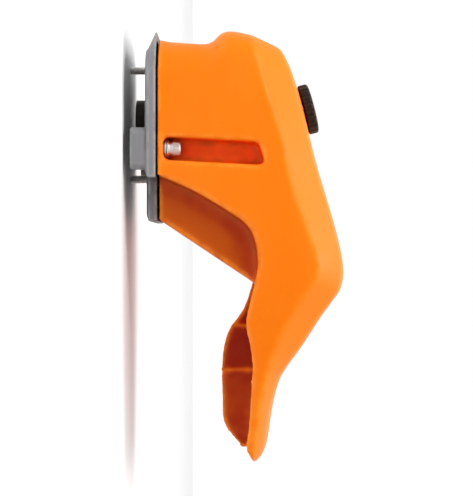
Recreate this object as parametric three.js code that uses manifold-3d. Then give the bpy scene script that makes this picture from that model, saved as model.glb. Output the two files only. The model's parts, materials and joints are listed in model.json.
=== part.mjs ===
// Air filter housing of a small petrol engine: a moulded hood with a quarter-turn lock and two side
// screws, over a base tray that carries a pleated filter, its studs and the steel bridge the lock grips.
// Millimetres: +X forward, +Y left, +Z up. The origin is the centre of the intake port on the base
// tray's lower face.
import * as THREE from 'three';
import { mergeVertices } from 'three/addons/utils/BufferGeometryUtils.js';
import Module from 'manifold-3d';

const wasm = await Module();
wasm.setup();

// ---- Driving dimensions -----------------------------------------------------------------------

// Hood
const hoodLength = 254;
const hoodWidth = 104;
const hoodHeight = 110;
const wall = 2.8;
const hoodCornerRadius = 18;
const chamferInset = 18;
const noseChamferInset = 11;
const crownRise = 3;
const noseTaper = 0.2;
const taperStart = 112;
const rimLipHeight = 3;
const rimLipProud = 1;
const ribDepth = 2;
const ribWidth = 2;

// Stepped wall under the hood's side arches, and the wall that closes the filter chamber in front
const archFoot = 85;
const recessDepth = 15;
const partitionFoot = 110;
const partitionTop = 150;
const partitionKnee = 60;

// Side channels with the screws at their lower end
const channelPlace = 69.5;
const channelWidth = 13;
const channelFloor = 4;
const channelTop = 62;
const channelLean = 3;

// Base tray
const portSetback = 52;
const baseHeight = 6.4;
const floorThickness = 3;
const flangeWidth = 8;
const baseProud = 1.2;
const baseTail = 5.5;
const lugLength = 24;
const lugWidth = 14;
const lugDrop = 8.5;
const sealHeight = 2.3;
const sealWidth = 1.8;
const sealInset = 0.5;

// Intake
const portRadius = 15;
const hornBore = 12.5;
const hornHeight = 16;
const hornSpigot = 8;
const gasketThickness = 1.5;
const gasketWidth = 10;

// Filter
const filterLength = 54;
const filterHeight = 28;
const filterCavityRadius = 21;
const pleatCount = 44;
const pleatDepth = 3.6;
const frameLength = 80;
const framePlate = 3.2;
const frameRim = 3;

// Studs, nuts and the bridge
const studSpacing = 66;
const studRadius = 2.5;
const studReach = 12;
const bridgeThickness = 2;
const bridgeRise = 14;
const bridgeWidth = 28;
const thumbNutRadius = 7;
const thumbNutHeight = 7;

// Quarter-turn lock
const knobPlace = 43.2;
const knobRadius = 15.2;
const knobHeight = 6.4;
const gripWidth = 6.5;
const shaftRadius = 3.2;
const bossRadius = 9;
const bossLength = 14;
const springTravel = 8.5;
const crossBarLength = 14;
const crossBarWidth = 3.6;
const crossBarHeight = 3;

// Side screws
const screwRadius = 2.5;
const screwLength = 18;
const screwHeadRadius = 4.4;
const screwHeadHeight = 6.4;
const screwFlangeRadius = 5.2;
const screwFlangeHeight = 1.4;
const insertRadius = 3.6;
const insertLength = 11;
const washerThickness = 1;

// Space between neighbouring pieces, and round a shaft in its hole
const gap = 0.3;
const fit = 0.35;

// ---- Derived places ---------------------------------------------------------------------------

const half = hoodWidth / 2;
const rimGap = 0.6;
const rimZ = baseHeight + rimGap;
const far = 400;
const rearAtRim = 6;
const screwX = channelPlace - portSetback;
const screwInset = sealInset + sealWidth + 2 * gap + insertRadius + wall / 3;
const screwY = half - screwInset;
const channelDepth = screwInset + screwFlangeRadius + fit;
const frameWidth = 2 * (half - recessDepth - wall - 4 * gap);
const filterWidth = frameWidth - 5;
const lowerFrameZ = baseHeight + 4 * gap;
const elementZ = lowerFrameZ + framePlate + gap;
const upperFrameZ = elementZ + filterHeight + gap;
const footZ = upperFrameZ + framePlate + gap;
const nutZ = footZ + bridgeThickness + gap + washerThickness + gap;

// ---- Solids -----------------------------------------------------------------------------------

function toSolid(geometry) {
  const bare = geometry.index ? geometry.toNonIndexed() : geometry.clone();
  bare.deleteAttribute('normal');
  bare.deleteAttribute('uv');
  const merged = mergeVertices(bare, 1e-4);
  const source = merged.index.array;
  const corners = [];
  for (let i = 0; i < source.length; i += 3) {
    const [a, b, c] = [source[i], source[i + 1], source[i + 2]];
    if (a !== b && b !== c && c !== a) {
      corners.push(a, b, c);
    }
  }
  const mesh = new wasm.Mesh({
    numProp: 3,
    vertProperties: new Float32Array(merged.attributes.position.array),
    triVerts: new Uint32Array(corners),
  });
  return new wasm.Manifold(mesh);
}

function toGeometry(solid) {
  const mesh = solid.getMesh();
  const geometry = new THREE.BufferGeometry();
  geometry.setAttribute('position', new THREE.BufferAttribute(new Float32Array(mesh.vertProperties), 3));
  geometry.setIndex(new THREE.BufferAttribute(new Uint32Array(mesh.triVerts), 1));
  return geometry;
}

// Outline in plan, raised from z = low to z = high.
function slab(shape, low, high) {
  const options = { depth: high - low, bevelEnabled: false, curveSegments: 4 };
  const geometry = new THREE.ExtrudeGeometry(shape, options);
  return toSolid(geometry.translate(0, 0, low));
}

// Outline in side view (x, z), swept from y = low to y = high.
function crosswise(shape, low, high) {
  const geometry = new THREE.ExtrudeGeometry(shape, { depth: high - low, bevelEnabled: false });
  return toSolid(geometry.rotateX(Math.PI / 2).translate(0, high, 0));
}

function block(x0, x1, y0, y1, z0, z1) {
  const geometry = new THREE.BoxGeometry(x1 - x0, y1 - y0, z1 - z0);
  return toSolid(geometry.translate((x0 + x1) / 2, (y0 + y1) / 2, (z0 + z1) / 2));
}

function rod(radius, z0, z1, x = 0, y = 0, sides = 16) {
  const geometry = new THREE.CylinderGeometry(radius, radius, z1 - z0, sides);
  return toSolid(geometry.rotateX(Math.PI / 2).translate(x, y, (z0 + z1) / 2));
}

// Solid of revolution about Z from [radius, z] pairs in counter-clockwise order.
function turned(profile, sides = 20) {
  const points = profile.map(([radius, z]) => new THREE.Vector2(radius, z));
  if (profile[0][0] > 0) {
    points.push(points[0].clone());
  }
  return toSolid(new THREE.LatheGeometry(points, sides).rotateX(Math.PI / 2));
}

function ring(inner, outer, z0, z1, sides = 20) {
  return turned([[inner, z0], [outer, z0], [outer, z1], [inner, z1]], sides);
}

function outline(points) {
  return new THREE.Shape(points.map(([x, y]) => new THREE.Vector2(x, y)));
}

function roundedRectangle(length, width, radius) {
  const shape = new THREE.Shape();
  const [x, y] = [length / 2, width / 2];
  shape.moveTo(-x + radius, -y);
  shape.lineTo(x - radius, -y);
  shape.absarc(x - radius, -y + radius, radius, -Math.PI / 2, 0);
  shape.absarc(x - radius, y - radius, radius, 0, Math.PI / 2);
  shape.absarc(-x + radius, y - radius, radius, Math.PI / 2, Math.PI);
  shape.absarc(-x + radius, -y + radius, radius, Math.PI, Math.PI * 1.5);
  return shape;
}

const parts = new THREE.Group();

function addPart(name, solid, finish, parent = parts) {
  const material = new THREE.MeshStandardMaterial(finish);
  const mesh = new THREE.Mesh(toGeometry(solid), material);
  mesh.name = name;
  parent.add(mesh);
}

// ---- Hood surface -----------------------------------------------------------------------------

// Smooth height over length through a few [length share, height share] points of the hood.
function heightLine(shares) {
  const points = shares.map(([along, up]) => [along * hoodLength, up * hoodHeight]);
  const last = points.length - 1;
  const rise = (i) => (points[i + 1][1] - points[i][1]) / (points[i + 1][0] - points[i][0]);
  const slopes = points.map((_, i) => {
    if (i === 0) {
      return rise(0);
    }
    return i === last ? rise(last - 1) : (rise(i - 1) + rise(i)) / 2;
  });
  return (u) => {
    const place = Math.min(Math.max(u, points[0][0]), points[last][0]);
    const i = Math.min(points.findLastIndex((point) => point[0] <= place), last - 1);
    const span = points[i + 1][0] - points[i][0];
    const t = (place - points[i][0]) / span;
    const [startWeight, endWeight] = [2 * t ** 3 - 3 * t ** 2 + 1, -2 * t ** 3 + 3 * t ** 2];
    const bend = (t ** 3 - 2 * t ** 2 + t) * slopes[i] + (t ** 3 - t ** 2) * slopes[i + 1];
    return startWeight * points[i][1] + endWeight * points[i + 1][1] + span * bend;
  };
}

const crownHeight = heightLine([
  [0.02, 0.66], [0.108, 0.738], [0.296, 0.85], [0.504, 0.985], [0.552, 1], [0.59, 0.992], [0.612, 0.961],
  [0.641, 0.909], [0.742, 0.755], [0.796, 0.664], [0.828, 0.637], [0.863, 0.617], [1, 0.571],
]);
const chamferHeight = heightLine([
  [0.02, 0.498], [0.108, 0.544], [0.238, 0.641], [0.367, 0.708], [0.456, 0.787], [0.536, 0.842],
  [0.565, 0.832], [0.594, 0.787], [0.669, 0.674], [0.748, 0.601], [0.846, 0.546], [1, 0.5],
]);

function shareAlong(u, start) {
  return THREE.MathUtils.smoothstep(u, start, hoodLength);
}

// One closed loop round the hood. Its right half runs from the rear middle to the front middle.
function planLoop({ rear, front, halfWidth, rearRadius, frontRadius, height, narrowing = () => 1 }) {
  const sideSteps = 30;
  const rearSteps = 6;
  const frontSteps = 4;
  const right = [[rear, 0], [rear, (halfWidth - rearRadius) / 2]];
  for (let i = 0; i <= rearSteps; i += 1) {
    const angle = (Math.PI / 2) * (i / rearSteps);
    const [x, y] = [rearRadius * (1 - Math.cos(angle)), rearRadius * Math.sin(angle)];
    right.push([rear + x, halfWidth - rearRadius + y]);
  }
  for (let i = 1; i < sideSteps; i += 1) {
    right.push([THREE.MathUtils.lerp(rear + rearRadius, front - frontRadius, i / sideSteps), halfWidth]);
  }
  for (let i = 0; i <= frontSteps; i += 1) {
    const angle = (Math.PI / 2) * (i / frontSteps);
    const [x, y] = [frontRadius * Math.sin(angle), frontRadius * (1 - Math.cos(angle))];
    right.push([front - frontRadius + x, halfWidth - y]);
  }
  right.push([front, 0]);
  const placed = right.map(([u, y]) => {
    const narrowed = y * narrowing(u) * (1 - noseTaper * shareAlong(u, taperStart));
    return [u - portSetback, -narrowed, height(u) + rimZ];
  });
  const mirrored = placed.slice(1, -1).reverse().map(([x, y, z]) => [x, -y, z]);
  return placed.concat(mirrored);
}

// Closed solid through equal loops stacked upwards, capped from the rear middle to the front middle.
function loft(loops) {
  const count = loops[0].length;
  const triangles = [];
  const quad = (a, b, c, d) => triangles.push(...a, ...c, ...b, ...a, ...d, ...c);
  for (let level = 0; level < loops.length - 1; level += 1) {
    for (let i = 0; i < count; i += 1) {
      const next = (i + 1) % count;
      quad(loops[level][i], loops[level + 1][i], loops[level + 1][next], loops[level][next]);
    }
  }
  const [bottom, top] = [loops[0], loops[loops.length - 1]];
  for (let i = 0; i < count / 2; i += 1) {
    const [opposite, after] = [(count - i) % count, count - i - 1];
    quad(bottom[i], bottom[i + 1], bottom[after], bottom[opposite]);
    quad(top[opposite], top[after], top[i + 1], top[i]);
  }
  const geometry = new THREE.BufferGeometry();
  geometry.setAttribute('position', new THREE.Float32BufferAttribute(triangles, 3));
  return geometry;
}

// The hood as a solid, moved inwards by inset. Its loops follow the rim, the bulge over the rear wall,
// the two edges of the chamfer and the crowned top.
function hoodSolid(inset, bottom) {
  const loop = (rear, halfWidth, radius, height, front = hoodLength) => planLoop({
    rear: rear + inset,
    front: front - inset,
    halfWidth: halfWidth - inset,
    rearRadius: Math.max(radius - inset, 1),
    frontRadius: Math.max(14 - inset, 1),
    height,
  });
  const lip = inset > 0 ? 0 : rimLipProud;
  const loops = [
    loop(rearAtRim - lip, half + lip, hoodCornerRadius + lip, () => bottom),
    loop(rearAtRim - lip, half + lip, hoodCornerRadius + lip, () => rimLipHeight - lip / 2),
    loop(rearAtRim + 0.3, half, hoodCornerRadius, () => rimLipHeight + lip / 2),
    loop(rearAtRim + 2, half, hoodCornerRadius, () => 28),
    loop(rearAtRim + 0.5, half, hoodCornerRadius, () => 32),
    loop(2, half, hoodCornerRadius, () => 35.5),
    loop(0, half, hoodCornerRadius, () => 39.5),
    loop(0.6, half, hoodCornerRadius, () => 46),
    loop(2.6, half, hoodCornerRadius, (u) => chamferHeight(u) - inset / 2),
  ];
  const inward = (u) => THREE.MathUtils.lerp(chamferInset, noseChamferInset, shareAlong(u, partitionTop));
  const topHalf = half - chamferInset - inset / 2;
  for (const share of [1, 0.7, 0.4, 0.12]) {
    loops.push(planLoop({
      rear: 8.5 + (1 - share) * 14 + inset / 2,
      front: hoodLength - 5 - (1 - share) * 9 - inset,
      halfWidth: topHalf * share,
      rearRadius: 11 * share,
      frontRadius: 10 * share,
      height: (u) => crownHeight(u) - crownRise * share ** 2 - inset,
      narrowing: (u) => (half - inward(u) - inset / 2) / topHalf,
    }));
  }
  return toSolid(loft(loops));
}

// ---- Hood outlines in side view ---------------------------------------------------------------

function atSide(u, v) {
  return [u - portSetback, v + rimZ];
}

// Lower edge of a side wall: up the arch from its foot, then forward under the nose.
function lowerEdge(shares) {
  const points = shares.map(([along, up]) => {
    return new THREE.Vector2(...atSide(archFoot + along * (hoodLength - archFoot), up * hoodHeight));
  });
  return new THREE.SplineCurve(points).getPoints(36).map((point) => [point.x, point.y]);
}

const archShares = [[0, 0], [0.052, 0.186], [0.135, 0.4], [0.17, 0.467], [0.215, 0.505], [0.298, 0.525]];
const rightEdge = lowerEdge([
  ...archShares, [0.484, 0.458], [0.557, 0.472], [0.643, 0.49], [0.73, 0.484], [0.858, 0.472], [0.944, 0.462],
  [1.02, 0.54],
]);
const leftEdge = lowerEdge([
  ...archShares, [0.46, 0.46], [0.56, 0.36], [0.66, 0.325], [0.8, 0.325], [0.92, 0.345], [1.02, 0.5],
]);
const archEdge = lowerEdge([...archShares, [0.42, 0.515]]);

// Moves an open outline sideways, to the left of its direction.
function shifted(points, distance) {
  return points.map(([x, z], i) => {
    const [before, after] = [points[Math.max(i - 1, 0)], points[Math.min(i + 1, points.length - 1)]];
    const run = new THREE.Vector2(after[0] - before[0], after[1] - before[1]).normalize();
    return [x - run.y * distance, z + run.x * distance];
  });
}

// Everything under a lower edge, ahead of its foot.
function underEdge(edge, low, high) {
  const [start, end] = [edge[0], edge[edge.length - 1]];
  const shape = outline([[start[0], -far], ...edge, [far, end[1]], [far, -far]]);
  return crosswise(shape, low, high);
}

// The filter chamber: full width over the arches and narrower between them, moved inwards by inset.
function chamberSolid(inset) {
  const arch = shifted(archEdge, inset);
  const [start, end] = [arch[0], arch[arch.length - 1]];
  const over = outline([[-far, -far], [start[0], -far], ...arch, [far, end[1]], [far, far], [-far, far]]);
  const front = shifted([atSide(partitionFoot, 0), atSide(partitionTop, partitionKnee)], inset);
  const topX = partitionTop - inset - portSetback;
  const between = outline([
    [-far, -far], [front[0][0], -far], ...front, [topX, front[1][1] + inset], [topX, far], [-far, far],
  ]);
  const narrow = half - recessDepth - inset;
  const behind = block(-far, topX, -far, far, -far, far);
  return crosswise(over, -half * 2, half * 2).intersect(behind).add(crosswise(between, -narrow, narrow));
}

// Side channel outline, grown by a margin and starting at height bottom.
function channelShape(margin, bottom) {
  const reach = channelWidth / 2 + margin;
  const corner = (side, lean, v) => atSide(channelPlace + side * reach + lean, v);
  return outline([
    corner(-1, 0, bottom), corner(1, 0, bottom), corner(1, channelLean, channelTop + margin),
    corner(-1, channelLean, channelTop - 4 + margin),
  ]);
}

// ---- Lock axis --------------------------------------------------------------------------------

const lockRise = crownHeight(knobPlace + knobRadius) - crownHeight(knobPlace - knobRadius);
const lockSlope = lockRise / (2 * knobRadius);
const lockTilt = Math.atan(lockSlope);
const lockFoot = new THREE.Vector3(knobPlace - portSetback, 0, crownHeight(knobPlace) + rimZ);
const lockFrame = new THREE.Matrix4().makeRotationY(-lockTilt).setPosition(lockFoot);
const plateHeight = footZ + bridgeRise;
const plateDepth = (lockFoot.z - plateHeight) / Math.cos(lockTilt);
const plateX = lockFoot.x + plateDepth * Math.sin(lockTilt);

// Solid of revolution or prism built along Z, moved onto the lock's tilted axis.
function onLockAxis(solid) {
  return toSolid(toGeometry(solid).applyMatrix4(lockFrame));
}

const lock = new THREE.Group();
lock.position.copy(lockFoot);
lock.rotation.y = -lockTilt;
parts.add(lock);

// ---- Materials --------------------------------------------------------------------------------

const orangePlastic = { color: 0xf57c0c, roughness: 0.42, metalness: 0 };
const grayPlastic = { color: 0xa2a6ab, roughness: 0.5, metalness: 0 };
const blackPlastic = { color: 0x17130f, roughness: 0.5, metalness: 0 };
const framePlastic = { color: 0x2b2d2f, roughness: 0.55, metalness: 0 };
const zincSteel = { color: 0xc4c4bf, roughness: 0.3, metalness: 1 };
const springSteel = { color: 0x8c8e90, roughness: 0.35, metalness: 1 };
const brass = { color: 0xb98f4a, roughness: 0.35, metalness: 1 };
const rubber = { color: 0x121212, roughness: 0.8, metalness: 0 };
const filterPaper = { color: 0xd8c9a0, roughness: 0.95, metalness: 0 };
const gasketPaper = { color: 0x6f7f6a, roughness: 0.9, metalness: 0 };

// ---- Hood -------------------------------------------------------------------------------------

function hoodShell() {
  const below = -portSetback;
  const outer = hoodSolid(0, 0);
  const inner = hoodSolid(wall, below);
  const leftWall = half * (1 - noseTaper) - wall * 3;
  let solid = outer.subtract(inner);
  for (const u of [partitionTop + 25, partitionTop + 53]) {
    const [x, y] = [u - portSetback, half - wall / 2];
    const rib = block(x, x + ribWidth, -y, y, 0, far);
    solid = solid.add(inner.subtract(hoodSolid(wall + ribDepth, below)).intersect(rib));
  }
  solid = solid.subtract(underEdge(rightEdge, -far, leftWall));
  solid = solid.subtract(underEdge(leftEdge, leftWall, far));
  solid = solid.add(chamberSolid(0).intersect(outer)).subtract(chamberSolid(wall).intersect(inner));
  for (const side of [-1, 1]) {
    const pocket = (margin, bottom, reach) => {
      const ends = [side * (half - reach), side * (half + 5)].sort((a, b) => a - b);
      return crosswise(channelShape(margin, bottom), ...ends);
    };
    solid = solid.add(pocket(wall, 0, channelDepth + wall).intersect(outer));
    solid = solid.subtract(pocket(0, channelFloor, channelDepth));
    const seat = rod(insertRadius + 2 * fit, rimZ - 1, rimZ + channelFloor + 1, screwX, side * screwY);
    solid = solid.subtract(seat);
  }
  solid = solid.add(onLockAxis(rod(bossRadius, -bossLength, -wall / 2)).intersect(outer));
  return solid.subtract(onLockAxis(rod(shaftRadius + fit, -bossLength - 1, far / 40)));
}

addPart('cover_shell', hoodShell(), orangePlastic);

// ---- Lock -------------------------------------------------------------------------------------

const sealPlace = 9.2;
const sealRadius = 0.8;
const shaftTop = 3.4;
const clipDepth = bossLength + springTravel + gap + washerThickness + gap;
const clipThickness = 0.8;
const clipNeck = shaftRadius - 0.8;

function knobSolid() {
  const [edge, rise] = [1.2, knobHeight];
  let solid = turned([
    [0, gap + 0.2], [knobRadius - 0.6, gap + 0.2], [knobRadius, 1.2], [knobRadius, rise - edge],
    [knobRadius - 0.4, rise - edge * 0.35], [knobRadius - edge, rise], [0, rise + 0.5],
  ], 40);
  const well = turned([
    [0, rise - 3.4], [knobRadius - 4.2, rise - 3.4], [knobRadius - 2.6, rise + 1], [0, rise + 1],
  ], 28);
  solid = solid.subtract(well.subtract(block(-far, far, -gripWidth / 2, gripWidth / 2, 0, far)));
  for (let i = 0; i < 20; i += 1) {
    const angle = (i + 0.5) * (Math.PI / 10);
    const [x, y] = [Math.cos(angle), Math.sin(angle)].map((part) => part * (knobRadius + 0.7));
    solid = solid.subtract(rod(1.3, -1, rise + 2, x, y, 8));
  }
  solid = solid.subtract(ring(sealPlace - 1.1, sealPlace + 1.1, 0, gap + sealRadius * 2 + gap, 28));
  return solid.subtract(rod(shaftRadius + gap, -1, shaftTop - 0.6 + gap));
}

function shaftSolid() {
  const bar = plateDepth + bridgeThickness / 2 + 2 * gap;
  const end = bar + crossBarHeight + 1;
  const clipTop = clipDepth - gap;
  const clipEnd = clipDepth + clipThickness + gap;
  const solid = turned([
    [0, -end], [shaftRadius - 0.8, -end], [shaftRadius, -end + 0.8], [shaftRadius, -clipEnd],
    [clipNeck, -clipEnd], [clipNeck, -clipTop], [shaftRadius, -clipTop],
    [shaftRadius, shaftTop - 1.1], [shaftRadius - 0.5, shaftTop - 0.6], [0, shaftTop - 0.6],
  ], 16);
  const [length, width] = [crossBarLength / 2, crossBarWidth / 2];
  return solid.add(block(-width, width, -length, length, -bar - crossBarHeight, -bar));
}

class Helix extends THREE.Curve {
  constructor(radius, turns, length) {
    super();
    Object.assign(this, { radius, turns, length });
  }

  getPoint(t, target = new THREE.Vector3()) {
    const angle = t * this.turns * Math.PI * 2;
    return target.set(Math.cos(angle) * this.radius, Math.sin(angle) * this.radius, -t * this.length);
  }
}

function springSolid() {
  const [wire, radius, turns] = [0.55, shaftRadius + 2.2, 5];
  const section = new THREE.Shape();
  section.absarc(0, 0, wire, 0, Math.PI * 2);
  const path = new Helix(radius, turns, springTravel - 2 * (wire + gap));
  const options = { steps: turns * 12, curveSegments: 3, extrudePath: path };
  const geometry = new THREE.ExtrudeGeometry(section, options);
  return toSolid(geometry.translate(0, 0, -bossLength - wire - gap));
}

function clipSolid() {
  const whole = ring(clipNeck + 0.15, shaftRadius + 2.6, -clipDepth - clipThickness, -clipDepth, 24);
  const mouth = clipNeck * 0.75;
  return whole.subtract(block(0, far, -mouth, mouth, -far, far));
}

addPart('twist_knob', knobSolid(), blackPlastic, lock);
addPart('knob_shaft', shaftSolid(), zincSteel, lock);
const sealGeometry = new THREE.TorusGeometry(sealPlace, sealRadius, 6, 28).translate(0, 0, gap + sealRadius);
addPart('knob_seal', toSolid(sealGeometry), rubber, lock);
addPart('knob_spring', springSolid(), springSteel, lock);
const cupTop = -bossLength - springTravel;
const cup = ring(shaftRadius + fit, shaftRadius + 4, cupTop - washerThickness, cupTop);
addPart('spring_cup', cup, zincSteel, lock);
addPart('retaining_clip', clipSolid(), springSteel, lock);

// ---- Side screws ------------------------------------------------------------------------------

const channelFloorZ = rimZ + channelFloor;
const headZ = channelFloorZ + gap + washerThickness + gap;

function screwSolid() {
  const headTop = headZ + screwFlangeHeight + screwHeadHeight;
  const tip = headZ - screwLength;
  const solid = turned([
    [0, tip], [screwRadius - 0.8, tip], [screwRadius, tip + 0.8], [screwRadius, headZ],
    [screwFlangeRadius, headZ], [screwFlangeRadius, headZ + screwFlangeHeight * 0.7],
    [screwHeadRadius, headZ + screwFlangeHeight], [screwHeadRadius, headTop - 0.6],
    [screwHeadRadius - 0.6, headTop], [0, headTop],
  ], 18);
  return solid.subtract(rod(2.3, headTop - 4, headTop + 1, 0, 0, 6));
}

for (const [name, side] of [['right', -1], ['left', 1]]) {
  const place = (solid) => solid.translate([screwX, side * screwY, 0]);
  const bore = screwRadius + fit;
  const washerZ = channelFloorZ + gap;
  const washer = ring(bore, screwFlangeRadius, washerZ, washerZ + washerThickness);
  const bush = ring(bore, insertRadius + fit, rimZ + gap, channelFloorZ);
  const insertTop = baseHeight - gap;
  const insert = ring(bore, insertRadius, insertTop - insertLength, insertTop);
  addPart(`side_screw_${name}`, place(screwSolid()), zincSteel);
  addPart(`side_screw_washer_${name}`, place(washer), zincSteel);
  addPart(`side_screw_bush_${name}`, place(bush), zincSteel);
  addPart(`threaded_insert_${name}`, place(insert), brass);
}

// ---- Base tray --------------------------------------------------------------------------------

// Plan of the hood's rim, moved inwards by inset, with its rear edge at the given place.
function rimPlan(inset, rear = rearAtRim + inset) {
  const steps = 7;
  const radius = Math.max(hoodCornerRadius - inset, 1);
  const narrow = half - recessDepth - inset;
  const right = [];
  for (let i = 0; i <= steps; i += 1) {
    const angle = (Math.PI / 2) * (i / steps);
    right.push([rear + radius * (1 - Math.cos(angle)), half - inset - radius * (1 - Math.sin(angle))]);
  }
  right.push([archFoot - inset, half - inset], [archFoot - inset, narrow], [partitionFoot - inset, narrow]);
  const placed = right.map(([u, y]) => [u - portSetback, -y]);
  return placed.concat([...placed].reverse().map(([x, y]) => [x, -y]));
}

function prismBetween(levels) {
  const [count, positions] = [levels[0].points.length, []];
  const corner = (level, i) => [...levels[level].points[i % count], levels[level].z];
  const top = levels.length - 1;
  for (let level = 0; level < top; level += 1) {
    for (let i = 0; i < count; i += 1) {
      const [a, b] = [corner(level, i), corner(level, i + 1)];
      const [c, d] = [corner(level + 1, i + 1), corner(level + 1, i)];
      positions.push(...a, ...b, ...c, ...a, ...c, ...d);
    }
  }
  const plan = levels[0].points.map(([x, y]) => new THREE.Vector2(x, y));
  const face = THREE.ShapeUtils.triangulateShape(plan, []);
  for (const [a, b, c] of face) {
    positions.push(...corner(0, a), ...corner(0, c), ...corner(0, b));
    positions.push(...corner(top, a), ...corner(top, b), ...corner(top, c));
  }
  const geometry = new THREE.BufferGeometry();
  geometry.setAttribute('position', new THREE.Float32BufferAttribute(positions, 3));
  return toSolid(geometry);
}

function baseSolid() {
  const tail = rearAtRim - baseTail;
  let solid = prismBetween([
    { points: rimPlan(baseProud + 1.4, tail + 11), z: 0 },
    { points: rimPlan(-baseProud, tail + 9.5), z: 1.4 },
    { points: rimPlan(-baseProud, tail), z: baseHeight - 0.6 },
    { points: rimPlan(0.6 - baseProud, tail + 0.6), z: baseHeight },
  ]);
  let pocket = slab(outline(rimPlan(flangeWidth)), floorThickness, baseHeight + 1);
  const lugInner = half - lugWidth;
  for (const side of [-1, 1]) {
    const lugY = side * (half - lugWidth / 2);
    const foot = slab(roundedRectangle(lugLength, lugWidth, 4), -lugDrop, 0.6);
    solid = solid.add(foot.translate([screwX, lugY, 0]));
    pocket = pocket.subtract(rod(half - lugInner - flangeWidth + 4, 0, far, screwX, side * screwY));
  }
  solid = solid.subtract(pocket).add(ring(portRadius + fit, portRadius + 5, 0, floorThickness, 28));
  const seat = slab(outline(rimPlan(sealInset - gap)), baseHeight - sealHeight + 0.1, baseHeight + 1);
  const core = slab(outline(rimPlan(sealInset + sealWidth + gap)), 0, far);
  solid = solid.subtract(seat.subtract(core)).subtract(rod(portRadius + fit, -far, far, 0, 0, 28));
  for (const side of [-1, 1]) {
    solid = solid.subtract(rod(insertRadius + gap, -far, far, screwX, side * screwY));
    solid = solid.subtract(rod(studRadius + gap, -far, far, side * (studSpacing / 2), 0));
  }
  return solid;
}

addPart('base_tray', baseSolid(), grayPlastic);

const sealTop = rimZ - gap;
const rimSeal = slab(outline(rimPlan(sealInset)), sealTop - sealHeight, sealTop);
addPart('rim_seal', rimSeal.subtract(slab(outline(rimPlan(sealInset + sealWidth)), -far, far)), rubber);

const gasketInner = portRadius + 2 * fit;
const gasket = ring(gasketInner, gasketInner + gasketWidth, -gasketThickness - gap, -gap, 28);
addPart('intake_gasket', gasket, gasketPaper);

function hornSolid() {
  const seat = floorThickness + gap;
  return turned([
    [hornBore, -hornSpigot], [portRadius, -hornSpigot], [portRadius, seat], [portRadius + 4.5, seat],
    [portRadius + 4.5, seat + 1.8], [portRadius, seat + 2.2], [portRadius, hornHeight - 4],
    [portRadius + 0.9, hornHeight - 2], [portRadius + 2.4, hornHeight - 0.8], [portRadius + 2.4, hornHeight],
    [portRadius + 0.6, hornHeight - 0.3], [portRadius - 0.9, hornHeight - 1.6],
    [hornBore + 0.5, hornHeight - 4], [hornBore, hornHeight - 7],
  ], 28);
}

addPart('intake_horn', hornSolid(), blackPlastic);
const seatZ = floorThickness + gap;
const seatTop = lowerFrameZ - gap;
addPart('filter_seat_ring', turned([
  [portRadius + 5.5, seatZ], [portRadius + 10, seatZ], [portRadius + 10, seatTop - 1],
  [portRadius + 8.5, seatTop], [portRadius + 7, seatTop], [portRadius + 5.5, seatTop - 1],
], 28), rubber);

// ---- Filter -----------------------------------------------------------------------------------

const studHoles = (solid) => [-1, 1].reduce((cut, side) => {
  return cut.subtract(rod(studRadius + gap, -far, far, side * (studSpacing / 2), 0));
}, solid);

// End frame of the filter: a plate with a rim that holds the pleats, on the side named by up.
function endFrame(z, up) {
  const plate = slab(roundedRectangle(frameLength, frameWidth, 12), z, z + framePlate);
  const [low, high] = up ? [z + framePlate - 0.5, z + framePlate + frameRim] : [z - frameRim, z + 0.5];
  const margin = 2 * gap;
  const inside = slab(roundedRectangle(filterLength + margin, filterWidth + margin, 5), -far, far);
  const rim = slab(roundedRectangle(filterLength + 4, filterWidth + 4, 7), low, high);
  return studHoles(plate.add(rim.subtract(inside)));
}

// Rounded rectangle whose outline folds in and out once for every pleat.
function pleatedOutline() {
  const smooth = roundedRectangle(filterLength, filterWidth, 5);
  const inner = roundedRectangle(filterLength - 2 * pleatDepth, filterWidth - 2 * pleatDepth, 2);
  const [ridges, valleys] = [smooth, inner].map((shape) => shape.getSpacedPoints(pleatCount * 2));
  return ridges.slice(0, -1).map((point, i) => {
    const chosen = i % 2 === 0 ? point : valleys[i];
    return [chosen.x, chosen.y];
  });
}

function cageSolid() {
  const [inner, outer] = [filterCavityRadius - 2, filterCavityRadius - 0.8];
  const [low, high] = [elementZ, elementZ + filterHeight];
  let solid = ring(inner, outer, low, low + 2, 24).add(ring(inner, outer, high - 2, high, 24));
  for (let i = 0; i < 12; i += 1) {
    const bar = block(inner + 0.1, outer - 0.1, -0.9, 0.9, low + 1, high - 1);
    solid = solid.add(bar.rotate([0, 0, i * 30]));
  }
  return solid.add(ring(inner, outer, (low + high) / 2 - 0.8, (low + high) / 2 + 0.8, 24));
}

const lowerFrame = endFrame(lowerFrameZ, true).subtract(rod(portRadius + 3.2, -far, far, 0, 0, 28));
addPart('filter_lower_frame', lowerFrame, framePlastic);
const pleats = slab(outline(pleatedOutline()), elementZ, elementZ + filterHeight);
addPart('filter_element', pleats.subtract(rod(filterCavityRadius, -far, far, 0, 0, 28)), filterPaper);
addPart('filter_inner_cage', cageSolid(), blackPlastic);
const topRib = (length, width) => slab(roundedRectangle(length, width, 1.2), upperFrameZ + 1, footZ + 1);
const topCross = topRib(filterLength - 10, 3).add(topRib(3, filterWidth - 8));
const upperFrame = endFrame(upperFrameZ, false).add(topCross);
addPart('filter_upper_frame', upperFrame, framePlastic);

// ---- Studs, nuts and bridge -------------------------------------------------------------------

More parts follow.
